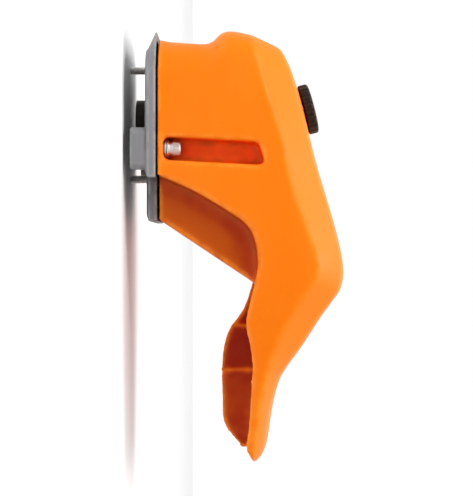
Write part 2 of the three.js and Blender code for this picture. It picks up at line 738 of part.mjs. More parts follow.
// Flat strip bent along [x, z] points, as an outline of constant thickness.
function stripOutline(points, thickness) {
  const normals = points.slice(1).map(([x, z], i) => {
    return new THREE.Vector2(-(z - points[i][1]), x - points[i][0]).normalize();
  });
  const side = (sign) => points.map(([x, z], i) => {
    const [before, after] = [normals[Math.max(i - 1, 0)], normals[Math.min(i, normals.length - 1)]];
    const mitre = before.clone().add(after).normalize();
    const reach = (sign * thickness) / 2 / mitre.dot(after);
    return [x + mitre.x * reach, z + mitre.y * reach];
  });
  return outline([...side(-1), ...side(1).reverse()]);
}

function bridgeSolid() {
  const [stud, centre] = [studSpacing / 2, footZ + bridgeThickness / 2];
  const [rearX, frontX] = [-stud + thumbNutRadius + 4, stud - thumbNutRadius - 3];
  const plateAt = (x) => [x, plateHeight + (x - plateX) * lockSlope];
  const strip = stripOutline([
    [-frameLength / 2, centre], [rearX - 2, centre], plateAt(rearX), plateAt(frontX), [frontX + 2, centre],
    [frameLength / 2, centre],
  ], bridgeThickness);
  const solid = studHoles(crosswise(strip, -bridgeWidth / 2, bridgeWidth / 2));
  const slide = crossBarHeight + bridgeThickness;
  const drift = slide * lockSlope + gap;
  const clear = 0.6;
  const slotHalf = crossBarLength / 2 + clear;
  const [rear, front] = [-crossBarWidth / 2 - clear, crossBarWidth / 2 + clear + drift];
  const [low, high] = [-plateDepth - 6, -plateDepth + 6];
  const keyhole = block(rear, front, -slotHalf, slotHalf, low, high)
    .add(rod(shaftRadius + clear, low, high))
    .add(rod(shaftRadius + clear, low, high, drift))
    .add(block(0, drift, -shaftRadius - clear, shaftRadius + clear, low, high));
  return solid.subtract(onLockAxis(keyhole));
}

addPart('latch_bridge', bridgeSolid(), zincSteel);

function thumbNut() {
  const teeth = 18;
  const points = [];
  for (let i = 0; i < teeth * 2; i += 1) {
    const [angle, radius] = [(i * Math.PI) / teeth, thumbNutRadius - (i % 2) * 0.7];
    points.push([Math.cos(angle) * radius, Math.sin(angle) * radius]);
  }
  const body = slab(outline(points), nutZ + 1, nutZ + thumbNutHeight);
  return body.add(rod(thumbNutRadius - 1.6, nutZ, nutZ + 2)).subtract(rod(studRadius + gap, 0, far));
}

for (const [name, side] of [['rear', -1], ['front', 1]]) {
  const place = (solid) => solid.translate([side * (studSpacing / 2), 0, 0]);
  addPart(`filter_stud_${name}`, place(rod(studRadius, -studReach, nutZ + thumbNutHeight + 2)), zincSteel);
  const hexagon = rod(4.4, seatZ, lowerFrameZ - gap, 0, 0, 6).subtract(rod(studRadius + gap, 0, far));
  addPart(`stud_nut_${name}`, place(hexagon), zincSteel);
  const washerZ = footZ + bridgeThickness + gap;
  const washer = ring(studRadius + gap, 5.6, washerZ, washerZ + washerThickness);
  addPart(`filter_washer_${name}`, place(washer), zincSteel);
  addPart(`filter_nut_${name}`, place(thumbNut()), brass);
}

export default parts;
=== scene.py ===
"""Air filter housing of a small petrol engine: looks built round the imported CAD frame. Metres, +Z up."""
import json
import math

import bmesh
import bpy
import numpy as np
from mathutils import Matrix, Vector
from mathutils.bvhtree import BVHTree
from mathutils.kdtree import KDTree


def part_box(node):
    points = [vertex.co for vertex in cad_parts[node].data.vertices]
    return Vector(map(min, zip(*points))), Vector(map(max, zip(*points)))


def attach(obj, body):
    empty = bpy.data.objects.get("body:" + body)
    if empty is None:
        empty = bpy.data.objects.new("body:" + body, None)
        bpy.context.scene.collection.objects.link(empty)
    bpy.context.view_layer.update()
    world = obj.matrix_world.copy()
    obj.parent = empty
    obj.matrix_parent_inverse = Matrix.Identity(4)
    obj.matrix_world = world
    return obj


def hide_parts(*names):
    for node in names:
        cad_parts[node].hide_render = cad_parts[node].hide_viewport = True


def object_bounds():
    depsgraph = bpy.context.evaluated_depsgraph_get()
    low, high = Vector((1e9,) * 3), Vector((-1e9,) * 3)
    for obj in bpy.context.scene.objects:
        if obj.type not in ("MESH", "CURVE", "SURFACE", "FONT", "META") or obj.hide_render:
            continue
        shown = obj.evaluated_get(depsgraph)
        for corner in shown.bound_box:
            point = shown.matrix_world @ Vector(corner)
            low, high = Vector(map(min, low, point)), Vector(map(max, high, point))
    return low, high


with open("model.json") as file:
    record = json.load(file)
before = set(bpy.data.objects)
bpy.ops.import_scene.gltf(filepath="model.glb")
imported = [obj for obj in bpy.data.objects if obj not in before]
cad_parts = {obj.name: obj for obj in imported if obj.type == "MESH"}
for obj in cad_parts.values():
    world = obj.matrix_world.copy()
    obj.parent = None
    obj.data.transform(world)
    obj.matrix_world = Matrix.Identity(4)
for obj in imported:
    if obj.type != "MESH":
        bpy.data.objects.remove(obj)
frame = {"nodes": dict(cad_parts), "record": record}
cad_low, cad_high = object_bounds()
nodes = frame["nodes"]
record = frame["record"]
body_of = {node: body for body, held in record["behaviour"]["bodies"].items() for node in held}
slot_of = {part["node"]: part["material_slot"] for part in record["subparts"]}

MM = 0.001
THREAD_PITCH = 0.8 * MM
THREAD_DEPTH = 0.42 * MM
PLEATS = 96
ENGINE_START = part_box("threaded_insert_right")[1].x + 11 * MM
ENGINE_FADE = 2 * MM
DIGITS = 6
STRAIGHT = 0.02


# ---- Mesh helpers ----------------------------------------------------------------------------

def link(name, mesh):
    piece = bpy.data.objects.new(name, mesh)
    bpy.context.scene.collection.objects.link(piece)
    return piece


def shade_smooth(mesh, angle=None):
    mesh.polygons.foreach_set("use_smooth", [True] * len(mesh.polygons))
    if angle is not None:
        mesh.set_sharp_from_angle(angle=math.radians(angle))


def coordinates(mesh):
    flat = np.empty(len(mesh.vertices) * 3)
    mesh.vertices.foreach_get("co", flat)
    return flat.reshape(-1, 3)


def normals_of(mesh):
    flat = np.empty(len(mesh.vertices) * 3)
    mesh.vertex_normals.foreach_get("vector", flat)
    return flat.reshape(-1, 3)


def edge_ends(mesh):
    flat = np.empty(len(mesh.edges) * 2, np.int32)
    mesh.edges.foreach_get("vertices", flat)
    return flat.reshape(-1, 2)


def neighbour_mean(values, ends, counts):
    """Mean of each vertex's neighbours, column by column."""
    columns = []
    for column in values.T:
        total = np.bincount(ends[:, 0], column[ends[:, 1]], len(values))
        total += np.bincount(ends[:, 1], column[ends[:, 0]], len(values))
        columns.append(total / counts)
    return np.stack(columns, axis=1)


def step_up(values, low, high):
    """A smooth step from 0 at low to 1 at high."""
    share = np.clip((values - low) / (high - low), 0, 1)
    return share * share * (3 - 2 * share)


def bend_of(mesh, spread):
    """How sharply the surface bends at each vertex, positive where convex, averaged over a few edges."""
    points, ends = coordinates(mesh), edge_ends(mesh)
    counts = np.maximum(np.bincount(ends.ravel(), minlength=len(points)), 1)
    lengths = np.linalg.norm(points[ends[:, 0]] - points[ends[:, 1]], axis=1)
    pull = neighbour_mean(points, ends, counts) - points
    bend = -(pull * normals_of(mesh)).sum(axis=1, keepdims=True) / lengths.mean()
    for _ in range(spread):
        bend = 0.5 * (bend + neighbour_mean(bend, ends, counts))
    return bend


def relax(mesh, rounds, weights=1.0, give_back=0.52):
    """Rounds the mesh's edges and evens its facets, as a mould's fillets would.

    Each round moves every point half way to its neighbours' mean, then a share of that away from it
    again, which keeps the piece's size."""
    points, ends = coordinates(mesh), edge_ends(mesh)
    counts = np.maximum(np.bincount(ends.ravel(), minlength=len(points)), 1)
    for _ in range(rounds):
        points += 0.5 * weights * (neighbour_mean(points, ends, counts) - points)
        points -= 0.5 * give_back * weights * (neighbour_mean(points, ends, counts) - points)
    mesh.vertices.foreach_set("co", points.ravel())
    mesh.update()


def store(mesh, name, values):
    layer = mesh.attributes.new(name, "FLOAT", "POINT")
    layer.data.foreach_set("value", values)


def build_blockers():
    """Every CAD surface at rest, for looking along rays."""
    corners, faces = [], []
    for node in nodes.values():
        start = len(corners)
        corners += [tuple(point) for point in coordinates(node.data)]
        faces += [[start + index for index in polygon.vertices] for polygon in node.data.polygons]
    return BVHTree.FromPolygons(corners, faces)


blockers = build_blockers()


def is_hidden(start, ray, reach):
    """Whether a surface that faces the start lies that way. One seen from its inside doesn't count."""
    _, normal, _, _ = blockers.ray_cast(start, ray, reach)
    return normal is not None and normal.dot(ray) < 0


def store_shelter(mesh, samples, rays=14, reach=100 * MM, skin=0.6 * MM, apart=6 * MM, blurs=8):
    """Stores how much of the view from each point other surfaces hide, from 0 in the open to 1, and
    whether the point lies under the hood on the engine's side of it. Samples are kept apart along their
    normals, so that the two faces of a thin wall don't mix."""
    points, normals = coordinates(mesh), normals_of(mesh)
    golden = math.pi * (3 - math.sqrt(5))
    fan = []
    for i in range(rays):
        up = math.sqrt((i + 0.5) / rays)
        out = math.sqrt(1 - up * up)
        fan.append((out * math.cos(i * golden), out * math.sin(i * golden), up))
    picked = range(0, len(points), max(len(points) // samples, 1))
    tree = KDTree(len(picked))
    hidden, roofed = np.zeros(len(picked)), np.zeros(len(picked))
    for place, index in enumerate(picked):
        normal = Vector(normals[index])
        start = Vector(points[index]) + normal * skin
        side = normal.orthogonal().normalized()
        across = normal.cross(side)
        looks_out = [side * a + across * b + normal * c for a, b, c in fan]
        hidden[place] = sum(is_hidden(start, ray, reach) for ray in looks_out) / rays
        roofed[place] = is_hidden(start, Vector((0, 0, 1)), reach)
        tree.insert(start + normal * apart, place)
    tree.balance()
    nearest = [tree.find(point)[1] for point in points + normals * (apart + skin)]
    ends = edge_ends(mesh)
    counts = np.maximum(np.bincount(ends.ravel(), minlength=len(points)), 1)
    values = np.stack([hidden[nearest], roofed[nearest]], axis=1)
    for _ in range(blurs):
        values = neighbour_mean(values, ends, counts)
    store(mesh, "shelter", values[:, 0])
    store(mesh, "engine", values[:, 1] * step_up(points[:, 0], ENGINE_START, ENGINE_START + ENGINE_FADE))


def finish_piece(name, mesh, node, spread=3, scale=0.12, angle=None, samples=2500):
    """Puts a mesh in a CAD node's place: same body, same slot, with the fields that the materials read.

    The edges field is the bend, averaged over spread rounds: a range of scale fills it from 0 to 1."""
    mesh.materials.clear()
    store(mesh, "edges", np.clip(0.5 + bend_of(mesh, spread).ravel() / scale, 0, 1))
    store_shelter(mesh, samples)
    shade_smooth(mesh, angle)
    mesh.name = name
    piece = link(name, mesh)
    mesh.materials.append(looks[slot_of[node]])
    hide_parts(node)
    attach(piece, body_of[node])


def voxelled(mesh, voxel):
    source = link("source", mesh)
    remesh = source.modifiers.new("remesh", "REMESH")
    remesh.mode, remesh.voxel_size = "VOXEL", voxel
    graph = bpy.context.evaluated_depsgraph_get()
    fine = bpy.data.meshes.new_from_object(source.evaluated_get(graph))
    bpy.data.objects.remove(source)
    return fine


def moulded(node, voxel, rounds, samples=2500):
    """A CAD solid's copy with fine, rounded surfaces."""
    mesh = voxelled(nodes[node].data.copy(), voxel)
    relax(mesh, rounds)
    finish_piece(node + "_fine", mesh, node, samples=samples)


def filleted(profile, radius, steps=4, most=0.45):
    """The points of a profile with each corner turned into a short curve, which takes at most a share of
    the sides next to it. The two ends of an open profile stay."""
    closed = profile[0][0] > 0
    points = [Vector(point) for point in profile]
    rounded = []
    for i, corner in enumerate(points):
        if not closed and i in (0, len(points) - 1):
            rounded.append(corner)
            continue
        before, after = points[i - 1] - corner, points[(i + 1) % len(points)] - corner
        cut = min(radius, most * before.length, most * after.length)
        start, end = corner + before.normalized() * cut, corner + after.normalized() * cut
        for step in range(steps + 1):
            t = step / steps
            rounded.append(start * (1 - t) ** 2 + corner * 2 * t * (1 - t) + end * t ** 2)
    return [tuple(point) for point in rounded]


def dense(profile, spacing):
    """The profile with points added along its long straights."""
    closed = profile[0][0] > 0
    points = [Vector(point) for point in profile]
    filled = []
    for i, point in enumerate(points):
        filled.append(tuple(point))
        if i == len(points) - 1 and not closed:
            break
        after = points[(i + 1) % len(points)]
        count = int((after - point).length / spacing)
        filled += [tuple(point.lerp(after, step / (count + 1))) for step in range(1, count + 1)]
    return filled


def spun(profile, place, sides=96, ripple=None):
    """A mesh turned about an axis from (radius, height) pairs. ripple gives each point's move outwards."""
    closed = profile[0][0] > 0
    radius, height = np.array(profile).T
    angle = np.arange(sides)[:, None] * (2 * math.pi / sides)
    angle, radius, height = np.broadcast_arrays(angle, radius, height)
    if ripple is not None:
        radius = radius + ripple(angle, radius, height)
    points = np.stack([radius * np.cos(angle), radius * np.sin(angle), height], axis=-1).reshape(-1, 3)
    rows = len(profile)
    faces = []
    for i in range(sides):
        here, there = i * rows, ((i + 1) % sides) * rows
        for j in range(rows if closed else rows - 1):
            k = (j + 1) % rows
            faces.append((here + j, there + j, there + k, here + k))
    mesh = bpy.data.meshes.new("spun")
    mesh.from_pydata(points.tolist(), [], faces)
    work = bmesh.new()
    work.from_mesh(mesh)
    bmesh.ops.remove_doubles(work, verts=work.verts, dist=1e-7)
    work.to_mesh(mesh)
    work.free()
    mesh.transform(place)
    return mesh


def upright(node):
    """The vertical axis through the middle of a CAD node."""
    low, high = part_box(node)
    return Matrix.Translation(((low.x + high.x) / 2, (low.y + high.y) / 2, 0))


def section(node, place):
    """The half section of a turned CAD solid through its axis, as (radius, height) pairs."""
    work = bmesh.new()
    work.from_mesh(nodes[node].data)
    work.transform(place.inverted())
    every = list(work.verts) + list(work.edges) + list(work.faces)
    found = bmesh.ops.bisect_plane(work, geom=every, plane_co=(0, 0, 0), plane_no=(1, 0, 0), dist=1e-6)
    near = {}
    for edge in (item for item in found["geom_cut"] if isinstance(item, bmesh.types.BMEdge)):
        ends = [(round(-v.co.y, DIGITS), round(v.co.z, DIGITS)) for v in edge.verts]
        if min(ends[0][0], ends[1][0]) < -10 ** -DIGITS or ends[0] == ends[1]:
            continue
        for here, there in (ends, ends[::-1]):
            near.setdefault(here, set()).add(there)
    work.free()
    tips = sorted(point for point in near if len(near[point]) == 1)
    start = min(tips, key=lambda p: p[1]) if tips else min(near, key=lambda p: (p[1], p[0]))
    path, here = [start], start
    while True:
        choices = [point for point in near[here] if point not in path]
        if not choices:
            break
        here = max(choices, key=lambda p: p[0]) if len(path) == 1 else choices[0]
        path.append(here)
    return straightened(path)


def straightened(path):
    """The path without the points that lie on a straight stretch."""
    closed = path[0][0] > 0
    kept = []
    for i, point in enumerate(path):
        if not closed and i in (0, len(path) - 1):
            kept.append(point)
            continue
        before = Vector(path[i - 1]) - Vector(point)
        after = Vector(path[(i + 1) % len(path)]) - Vector(point)
        if abs(before.normalized().cross(after.normalized())) > STRAIGHT:
            kept.append(point)
    return kept


def respun(node, fillet, place=None, sides=96, ripple=None, spacing=None):
    """A turned CAD solid with many more sides, rounded corners and the relief that ripple gives."""
    place = place or upright(node)
    profile = filleted(section(node, place), fillet)
    if spacing is not None:
        profile = dense(profile, spacing)
    finish_piece(node + "_fine", spun(profile, place, sides, ripple), node, 0, 0.5, 40, 600)


# ---- Reliefs on turned pieces ----------------------------------------------------------------
# Each moves only the points that lie near its radius.

def thread(radius, low, high, near=0.2 * MM):
    """A right-hand thread cut into the surface of that radius, with flat crests and roots, running out
    at both ends."""
    root, flank = 1.35, 1.7

    def ripple(angle, here, height):
        turn = (height / THREAD_PITCH - angle / (2 * math.pi)) % 1.0
        depth = np.clip(root - flank * np.abs(2 * turn - 1), 0, 1)
        fade = step_up(height, low, low + THREAD_PITCH) * step_up(-height, -high, THREAD_PITCH - high)
        return -THREAD_DEPTH * depth * fade * (np.abs(here - radius) < near)
    return ripple


def knurl(radius, low, high, teeth, depth, near=0.25 * MM):
    """Ridges along the axis, on the surface of that radius, fading out at both ends."""
    run_out = 0.3 * MM

    def ripple(angle, here, height):
        wave = 0.5 - 0.5 * np.cos(teeth * angle)
        within = step_up(height, low, low + run_out) * step_up(-height, -high, run_out - high)
        return -depth * wave * within * (np.abs(here - radius) < near)
    return ripple


def hexagon(radius, near=0.05 * MM):
    """Turns the surface of that radius into six flat sides, with their corners at the radius."""
    def ripple(angle, here, height):
        flat = math.cos(math.pi / 6) / np.cos(angle % (math.pi / 3) - math.pi / 6)
        return here * (flat - 1) * (np.abs(here - radius) < near)
    return ripple


def together(*ripples):
    return lambda angle, here, height: sum(ripple(angle, here, height) for ripple in ripples)


# ---- Material helpers ------------------------------------------------------------------------

class Surface:
    """A principled material with the noise, ramp and bump nodes that the surfaces share."""

    def __init__(self, name, colour, roughness, metallic=0.0):
        self.material = bpy.data.materials.new(name)
        self.material.use_nodes = True
        self.tree = self.material.node_tree
        self.shader = self.tree.nodes["Principled BSDF"]
        self.shader.inputs["Metallic"].default_value = metallic
        self.place = self.add("ShaderNodeTexCoord").outputs["Object"]
        self.colour = (*colour, 1)
        self.rough = roughness
        self.bump = None

    def add(self, kind, **settings):
        node = self.tree.nodes.new(kind)
        for key, value in settings.items():
            setattr(node, key, value)
        return node

    def feed(self, socket, value):
        if hasattr(value, "links"):
            self.tree.links.new(value, socket)
        else:
            socket.default_value = value

    def math(self, operation, a, b, clamp=False):
        node = self.add("ShaderNodeMath", operation=operation, use_clamp=clamp)
        self.feed(node.inputs[0], a)
        self.feed(node.inputs[1], b)
        return node.outputs[0]

    def span(self, value, low, high, to_low=0.0, to_high=1.0):
        node = self.add("ShaderNodeMapRange", clamp=True, interpolation_type="SMOOTHSTEP")
        for socket, item in zip(node.inputs[:5], (value, low, high, to_low, to_high)):
            self.feed(socket, item)
        return node.outputs[0]

    def stretched(self, scale, turn=(0, 0, 0)):
        node = self.add("ShaderNodeMapping")
        node.inputs["Scale"].default_value = scale
        node.inputs["Rotation"].default_value = turn
        self.feed(node.inputs["Vector"], self.place)
        return node.outputs[0]

    def noise(self, scale, detail=3.0, roughness=0.5, vector=None):
        node = self.add("ShaderNodeTexNoise")
        self.feed(node.inputs["Vector"], vector or self.place)
        node.inputs["Scale"].default_value = scale
        node.inputs["Detail"].default_value = detail
        node.inputs["Roughness"].default_value = roughness
        return node.outputs["Fac"]

    def cells(self, scale):
        node = self.add("ShaderNodeTexVoronoi")
        self.feed(node.inputs["Vector"], self.place)
        node.inputs["Scale"].default_value = scale
        return node.outputs["Distance"]

    def attribute(self, name):
        return self.add("ShaderNodeAttribute", attribute_name=name).outputs["Fac"]

    def tint(self, colour, factor, blend="MIX"):
        """Mixes a colour over what the surface has so far."""
        node = self.add("ShaderNodeMix", data_type="RGBA", blend_type=blend)
        self.feed(node.inputs[0], factor)
        self.feed(node.inputs[6], self.colour)
        node.inputs[7].default_value = (*colour, 1)
        self.colour = node.outputs[2]

    def roughen(self, amount, factor):
        self.rough = self.math("ADD", self.rough, self.math("MULTIPLY", factor, amount), clamp=True)

    def relief(self, height, depth, strength=1.0):
        """Adds a height map, with its depth in metres."""
        node = self.add("ShaderNodeBump")
        node.inputs["Strength"].default_value = strength
        node.inputs["Distance"].default_value = depth
        self.tree.links.new(height, node.inputs["Height"])
        if self.bump is not None:
            self.tree.links.new(self.bump, node.inputs["Normal"])
        self.bump = node.outputs["Normal"]

    def done(self, **constants):
        self.feed(self.shader.inputs["Base Color"], self.colour)
        self.feed(self.shader.inputs["Roughness"], self.rough)
        if self.bump is not None:
            self.tree.links.new(self.bump, self.shader.inputs["Normal"])
        for name, value in constants.items():
            self.shader.inputs[name.replace("_", " ")].default_value = value
        return self.material


def moulded_plastic(name, colour, worn, dirt, roughness, shade, engine_shade, grain=0.00003, specular=0.16):
    """Injection-moulded plastic: eroded grain, slow flow marks, paler rubbed edges, dirt where sheltered.

    shade multiplies the colour in deep hollows, and a second colour multiplies it on the engine's side
    under the hood, the more where more is sheltered: both are painted shade."""
    s = Surface(name, colour, roughness)
    flow = s.noise(22, 3, 0.5, s.stretched((0.5, 1, 1.6)))
    s.tint(worn, s.span(flow, 0.45, 0.75, 0, 0.1))
    s.tint(dirt, s.span(s.noise(900, 2), 0.66, 0.8, 0, 0.15))
    shelter = s.attribute("shelter")
    s.tint(shade, s.span(shelter, 0.12, 0.72), "MULTIPLY")
    # painted shade: the colour is multiplied darker under the hood on the engine's side, most where other
    # surfaces hide most of the view
    deep = s.math("MULTIPLY", s.attribute("engine"), s.span(shelter, 0.1, 0.62, 0.58, 1))
    s.tint(engine_shade, deep, "MULTIPLY")
    edge = s.attribute("edges")
    broken = s.math("MULTIPLY", s.span(edge, 0.57, 0.9), s.span(s.noise(160, 4, 0.6), 0.3, 0.62))
    s.tint(worn, s.math("MULTIPLY", broken, 0.5))
    hollow = s.math("MULTIPLY", s.span(edge, 0.44, 0.12), s.span(s.noise(90, 4), 0.25, 0.65))
    s.tint(dirt, s.math("MULTIPLY", hollow, 0.55))
    film = s.math("MULTIPLY", s.span(shelter, 0.25, 0.9), s.span(s.noise(55, 5, 0.62), 0.38, 0.68))
    s.tint(dirt, s.math("MULTIPLY", film, 0.3))
    s.roughen(0.2, film)
    s.roughen(0.14, hollow)
    s.roughen(-0.07, broken)
    s.roughen(0.12, s.span(s.noise(45, 4, 0.6), 0.35, 0.75))
    s.relief(s.cells(1500), grain)
    s.relief(s.noise(260, 3), grain * 1.3)
    scratches = s.noise(60, 2, 0.5, s.stretched((1.0, 9, 26), (0.3, 0.5, 0.2)))
    s.relief(s.span(scratches, 0.68, 0.72), grain, 0.3)
    return s.done(Specular_IOR_Level=specular)


def plated_metal(name, colour, stain, roughness):
    """Plated or drawn metal: fine tool lines, cloudy plating, darker specks, painted shade where sheltered
    and a painted highlight on convex edges.
    """
    s = Surface(name, colour, roughness, 1.0)
    s.tint(stain, s.span(s.noise(120, 4, 0.6), 0.45, 0.75, 0, 0.45))
    s.tint(stain, s.span(s.noise(1400, 2), 0.66, 0.74, 0, 0.6))
    # painted shade: darker where other surfaces hide more of the view
    s.tint((0.06, 0.05, 0.04), s.span(s.attribute("shelter"), 0.45, 1.0, 0, 0.5))
    # painted highlight: paler along convex edges
    s.tint(tuple(0.5 + 0.5 * part for part in colour), s.span(s.attribute("edges"), 0.56, 0.8, 0, 0.5))
    lines = s.noise(1, 2, 0.5, s.stretched((40, 40, 900)))
    s.roughen(0.2, s.span(lines, 0.3, 0.7))
    s.roughen(0.12, s.span(s.noise(200, 3), 0.4, 0.7))
    s.relief(lines, 0.00002, 0.5)
    return s.done()


def rubber(name):
    """Black rubber with a dull bloom."""
    s = Surface(name, (0.012, 0.012, 0.013), 0.66)
    s.tint((0.09, 0.085, 0.08), s.span(s.noise(130, 4, 0.6), 0.5, 0.8, 0, 0.5))
    s.roughen(0.15, s.span(s.noise(60, 3), 0.4, 0.7))
    s.relief(s.noise(1200, 2), 0.00003)
    return s.done(Specular_IOR_Level=0.35)


def filter_paper(name):
    """Pleated paper: crossing fibres, colour darker down the folds that fades towards the ridges."""
    s = Surface(name, (0.78, 0.66, 0.43), 0.9)
    fibres = s.noise(1, 4, 0.6, s.stretched((500, 500, 140)))
    s.tint((0.56, 0.43, 0.26), s.span(fibres, 0.4, 0.75, 0, 0.45))
    # darker down the folds, fading towards the ridges
    s.tint((0.33, 0.26, 0.17), s.span(s.attribute("edges"), 0.46, 0.1, 0, 0.6))
    s.tint((0.2, 0.16, 0.11), s.span(s.noise(70, 5, 0.65), 0.5, 0.82, 0, 0.5))
    s.roughen(0.08, s.span(fibres, 0.4, 0.7))
    s.relief(fibres, 0.00008)
    return s.done(Sheen_Weight=0.15, Specular_IOR_Level=0.2)


def gasket_fibre(name):
    """Pressed fibre with pale strands and dark stains."""
    s = Surface(name, (0.16, 0.2, 0.17), 0.84)
    s.tint((0.35, 0.36, 0.3), s.span(s.noise(700, 4, 0.7), 0.5, 0.72, 0, 0.6))
    s.tint((0.05, 0.05, 0.045), s.span(s.noise(80, 4), 0.5, 0.8, 0, 0.6))
    s.roughen(0.1, s.span(s.noise(300, 3), 0.4, 0.7))
    s.relief(s.noise(900, 3), 0.00006)
    return s.done()


looks = {
    "orange_plastic": moulded_plastic(
        "orange_plastic", (0.98, 0.2, 0.0005), (1.0, 0.33, 0.03), (0.34, 0.075, 0.01), 0.4,
        shade=(1.0, 0.45, 0.15), engine_shade=(0.36, 0.1, 0.05),
    ),
    "gray_plastic": moulded_plastic(
        "gray_plastic", (0.25, 0.255, 0.265), (0.42, 0.43, 0.44), (0.1, 0.09, 0.08), 0.46,
        shade=(0.7, 0.69, 0.68), engine_shade=(0.5, 0.48, 0.46),
    ),
    "black_plastic": moulded_plastic(
        "black_plastic", (0.014, 0.01, 0.007), (0.075, 0.055, 0.04), (0.06, 0.045, 0.032), 0.44,
        shade=(0.7, 0.7, 0.7), engine_shade=(0.7, 0.7, 0.7),
    ),
    "frame_plastic": moulded_plastic(
        "frame_plastic", (0.035, 0.037, 0.04), (0.12, 0.12, 0.12), (0.1, 0.085, 0.07), 0.48,
        shade=(0.8, 0.8, 0.8), engine_shade=(0.8, 0.8, 0.8),
    ),
    "zinc_steel": plated_metal("zinc_steel", (0.72, 0.71, 0.69), (0.42, 0.4, 0.36), 0.24),
    "spring_steel": plated_metal("spring_steel", (0.42, 0.43, 0.45), (0.2, 0.19, 0.18), 0.28),
    "brass": plated_metal("brass", (0.74, 0.5, 0.2), (0.4, 0.24, 0.09), 0.26),
    "rubber": rubber("rubber"),
    "filter_paper": filter_paper("filter_paper"),
    "gasket_paper": gasket_fibre("gasket_paper"),
}

for name, slot in slot_of.items():
    nodes[name].data.materials.clear()
    nodes[name].data.materials.append(looks[slot])


# ---- Hood and tray ---------------------------------------------------------------------------

def build_hood(voxel=0.8 * MM, soft_bend=0.1, sharp_bend=0.17, kept=0.97):
    """The hood with soft folds and even faces, and crisp lips, slot rims and lower edges.

    Where the surface bends sharply, that share of the second relaxing is held back."""
    mesh = voxelled(nodes["cover_shell"].data.copy(), voxel)
    relax(mesh, 5)
    sharp = step_up(np.abs(bend_of(mesh, 1)), soft_bend, sharp_bend)
    ends = edge_ends(mesh)
    counts = np.maximum(np.bincount(ends.ravel(), minlength=len(sharp)), 1)
    for _ in range(2):
        sharp = np.maximum(sharp, neighbour_mean(sharp, ends, counts))
    relax(mesh, 70, 1 - kept * sharp, 0.5)
    relax(mesh, 2)
    finish_piece("hood_moulding", mesh, "cover_shell", 4, 0.1, samples=22000)


build_hood()
moulded("base_tray", 0.55 * MM, 3, 6000)
moulded("twist_knob", 0.25 * MM, 3, 3000)


# ---- Lock ------------------------------------------------------------------------------------

def build_lock_place():
    """The knob's axis as its joint states it."""
    knob_turn = next(joint for joint in record["behaviour"]["joints"] if joint["name"] == "knob_turn")
    up = Vector(knob_turn["axis"]).normalized()
    side = Vector((0, 1, 0))
    across = side.cross(up)
    turn = Matrix((across, side, up)).transposed().to_4x4()
    return Matrix.Translation(Vector(knob_turn["pos_m"])) @ turn


lock_place = build_lock_place()


def span_about(node, place):
    """Nearest and farthest distance from the axis of a place, and the lowest and highest point along it."""
    turned = np.array(place.inverted())
    points = coordinates(nodes[node].data) @ turned[:3, :3].T + turned[:3, 3]
    radii = np.hypot(points[:, 0], points[:, 1])
    return radii.min(), radii.max(), points[:, 2].min(), points[:, 2].max()


def build_seal():
    """A round O-ring in the place of the faceted one."""
    inner, outer, low, high = span_about("knob_seal", lock_place)
    middle, radius, height = (inner + outer) / 2, (high - low) / 2, (low + high) / 2
    sides = 20
    turns = [2 * math.pi * i / sides for i in range(sides)]
    profile = [(middle + radius * math.cos(a), height + radius * math.sin(a)) for a in turns]
    finish_piece("knob_seal_fine", spun(profile, lock_place, 120), "knob_seal", samples=400)


def build_spring(turns=5, closed=0.75, sides=14, steps_per_turn=48):
    """Round wire wound with a nearly closed turn at each end."""
    inner, outer, low, high = span_about("knob_spring", lock_place)
    radius, wire = (inner + outer) / 2, (outer - inner) / 2
    steps = turns * steps_per_turn
    share = np.linspace(0, 1, steps + 1)
    turn = share * turns
    climb = np.clip((turn - closed) / (turns - 2 * closed), 0, 1)
    flat = 2 * wire * 1.05
    ease = climb * climb * (3 - 2 * climb)
    rise = low + wire + (high - low - 2 * wire - flat) * (0.6 * climb + 0.4 * ease)
    rise += flat * 0.5 * (np.clip(turn / closed, 0, 1) + np.clip((turn - turns + closed) / closed, 0, 1))
    angle = turn * 2 * math.pi
    centres = np.stack([radius * np.cos(angle), radius * np.sin(angle), rise], axis=1)
    ahead = np.gradient(centres, axis=0)
    ahead /= np.linalg.norm(ahead, axis=1, keepdims=True)
    outward = np.stack([np.cos(angle), np.sin(angle), 0 * angle], axis=1)
    upward = np.cross(ahead, outward)
    round_turn = np.arange(sides) * 2 * math.pi / sides
    to_side = np.cos(round_turn)[None, :, None] * outward[:, None]
    to_top = np.sin(round_turn)[None, :, None] * upward[:, None]
    points = centres[:, None] + wire * (to_side + to_top)
    faces = [list(range(sides)), [steps * sides + j for j in reversed(range(sides))]]
    for i in range(steps):
        for j in range(sides):
            k = (j + 1) % sides
            faces.append([i * sides + k, i * sides + j, (i + 1) * sides + j, (i + 1) * sides + k])
    mesh = bpy.data.meshes.new("spring")
    mesh.from_pydata(points.reshape(-1, 3).tolist(), [], faces)
    work = bmesh.new()
    work.from_mesh(mesh)
    bmesh.ops.recalc_face_normals(work, faces=work.faces)
    work.to_mesh(mesh)
    work.free()
    mesh.transform(lock_place)
    finish_piece("knob_spring_fine", mesh, "knob_spring", angle=50, samples=500)


build_seal()
build_spring()
respun("spring_cup", 0.25 * MM, lock_place)
moulded("knob_shaft", 0.2 * MM, 8)
moulded("retaining_clip", 0.14 * MM, 5, 400)


# ---- Screws, studs and nuts ------------------------------------------------------------------

